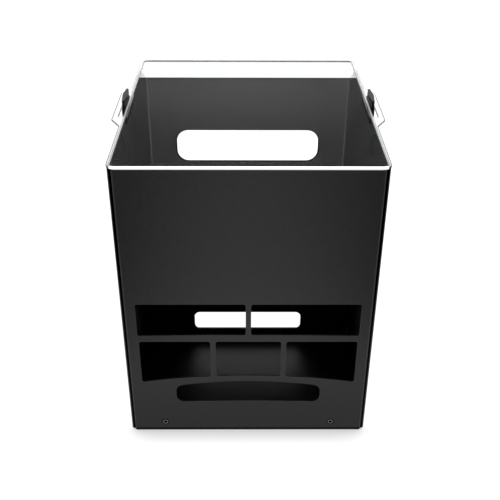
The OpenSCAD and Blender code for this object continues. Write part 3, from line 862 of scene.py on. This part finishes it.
# %% Materials: moulded plastic and rubber
def moulded(name, dark, pale, roughness, specular, grain_mm, bump_mm, dust):
    """Moulded black plastic or rubber between two greys, with mould texture, dust and rubbed edges."""
    material, tree, shader = new_material(name, (0.02, 0.02, 0.02, 1))
    shader.inputs["Specular IOR Level"].default_value = specular
    grain = use_group(tree, grain_group, Grain_mm=grain_mm, Peel_mm=6 * grain_mm, Peel_Share=0.3)
    worn = use_group(tree, wear_group, Width_mm=0.3, Amount=0.4, Patch_mm=4.0)
    specks = use_group(tree, dust_group, Amount=dust, Speck_mm=0.8)
    colour = mix_colour(tree, grain["Mottle"], (dark, dark, dark), (pale, pale, pale))
    colour = mix_colour(tree, worn["Mask"], colour, (0.05, 0.05, 0.05))
    colour = mix_colour(tree, specks["Mask"], colour, (0.3, 0.29, 0.27))
    feed(shader.inputs["Base Color"], colour)
    feed(shader.inputs["Roughness"],
         map_range(tree, grain["Height"], 0, 1, roughness - 0.05, roughness + 0.05))
    add_bump(tree, shader, grain["Height"], bump_mm)
    lay_out(tree)
    return material


grip_plastic = moulded("black_moulded_plastic", 0.004, 0.007, roughness=0.42, specular=0.08, grain_mm=0.4,
                       bump_mm=0.03, dust=0.02)
strip_plastic = moulded("black_strip_plastic", 0.006, 0.009, roughness=0.28, specular=0.5, grain_mm=0.8,
                        bump_mm=0.02, dust=0.03)
rubber = moulded("foot_rubber_black", 0.012, 0.02, roughness=0.7, specular=0.3, grain_mm=0.6,
                 bump_mm=0.06, dust=0.25)
print("Moulded: grip plastic, strip plastic and foot rubber.")


# %% Materials: metal
def metal(name, tone, worn_tone, roughness, wear, sockets=False):
    """Turned metal with a finish that is rubbed bright at its edges, painted shade in its crevices, and
    painted shade in dark sockets if asked for.
    """
    material, tree, shader = new_material(name, (*tone, 1))
    shader.inputs["Metallic"].default_value = 1.0
    scratches = use_group(tree, scratch_group, Length_mm=3.0, Width_mm=0.08)
    worn = use_group(tree, wear_group, Width_mm=0.25, Amount=wear, Patch_mm=1.5)
    # The crevice mask and the socket dots are painted shade.
    lost = use_group(tree, crevice_group, Reach_mm=1.5, Amount=1.0)["Mask"]
    if sockets:
        socket = use_group(tree, ring_group, Across_mm=screw_x / MM, Height_mm=screw_z / MM,
                           Inner_mm=-1.0, Outer_mm=1.9, Soft_mm=0.3)
        lost = math_node(tree, "MAXIMUM", lost, socket["Mask"])
    colour = mix_colour(tree, worn["Mask"], tone, worn_tone)
    feed(shader.inputs["Base Color"], mix_colour(tree, lost, colour, black))
    feed(shader.inputs["Roughness"],
         map_range(tree, scratches["Lines"], 0, 1, roughness - 0.08, roughness + 0.2))
    add_bump(tree, shader, scratches["Lines"], 0.01)
    lay_out(tree)
    return material


black_oxide = metal("black_oxide_steel", (0.20, 0.20, 0.205), (0.55, 0.55, 0.55), 0.24, wear=0.9,
                    sockets=True)
zinc = metal("zinc_plated_steel", (0.55, 0.56, 0.58), (0.75, 0.75, 0.76), 0.30, wear=0.5)
stainless = metal("stainless_steel", (0.48, 0.47, 0.46), (0.7, 0.7, 0.7), 0.24, wear=0.5)
black_aluminium = metal("black_aluminium", (0.02, 0.02, 0.021), (0.35, 0.35, 0.36), 0.38, wear=0.6)
print("Metal: black oxide, zinc, stainless and black aluminium.")

# %% Finish the small pieces
finishes = {
    grip_plastic: ["left_thumb_grip", "right_thumb_grip", "left_catch_hook", "right_catch_hook"],
    strip_plastic: ["left_backing_strip", "right_backing_strip"],
    rubber: ["rubber_feet"],
    black_oxide: ["base_screws"],
    zinc: ["clinch_nuts"],
    stainless: ["left_catch_screws", "right_catch_screws"],
    black_aluminium: ["side_rivets"],
}
edge_mm = {grip_plastic: 0.35, strip_plastic: 0.12, black_oxide: 0.12}
for material, names in finishes.items():
    for name in names:
        piece = frame["nodes"][name]
        piece.material_slots[0].material = material
        if material in edge_mm:
            round_edges(piece, edge_mm[material])
print(f"{len(finishes)} finishes cover {sum(map(len, finishes.values()))} solids.")

# %% [markdown]
# ## The last step
# Trim and rounding must not make the caddy larger than its solids, or it would no longer fit where the
# solids fit. The script ends by updating the view layer.

# %% Finish
bpy.context.view_layer.update()
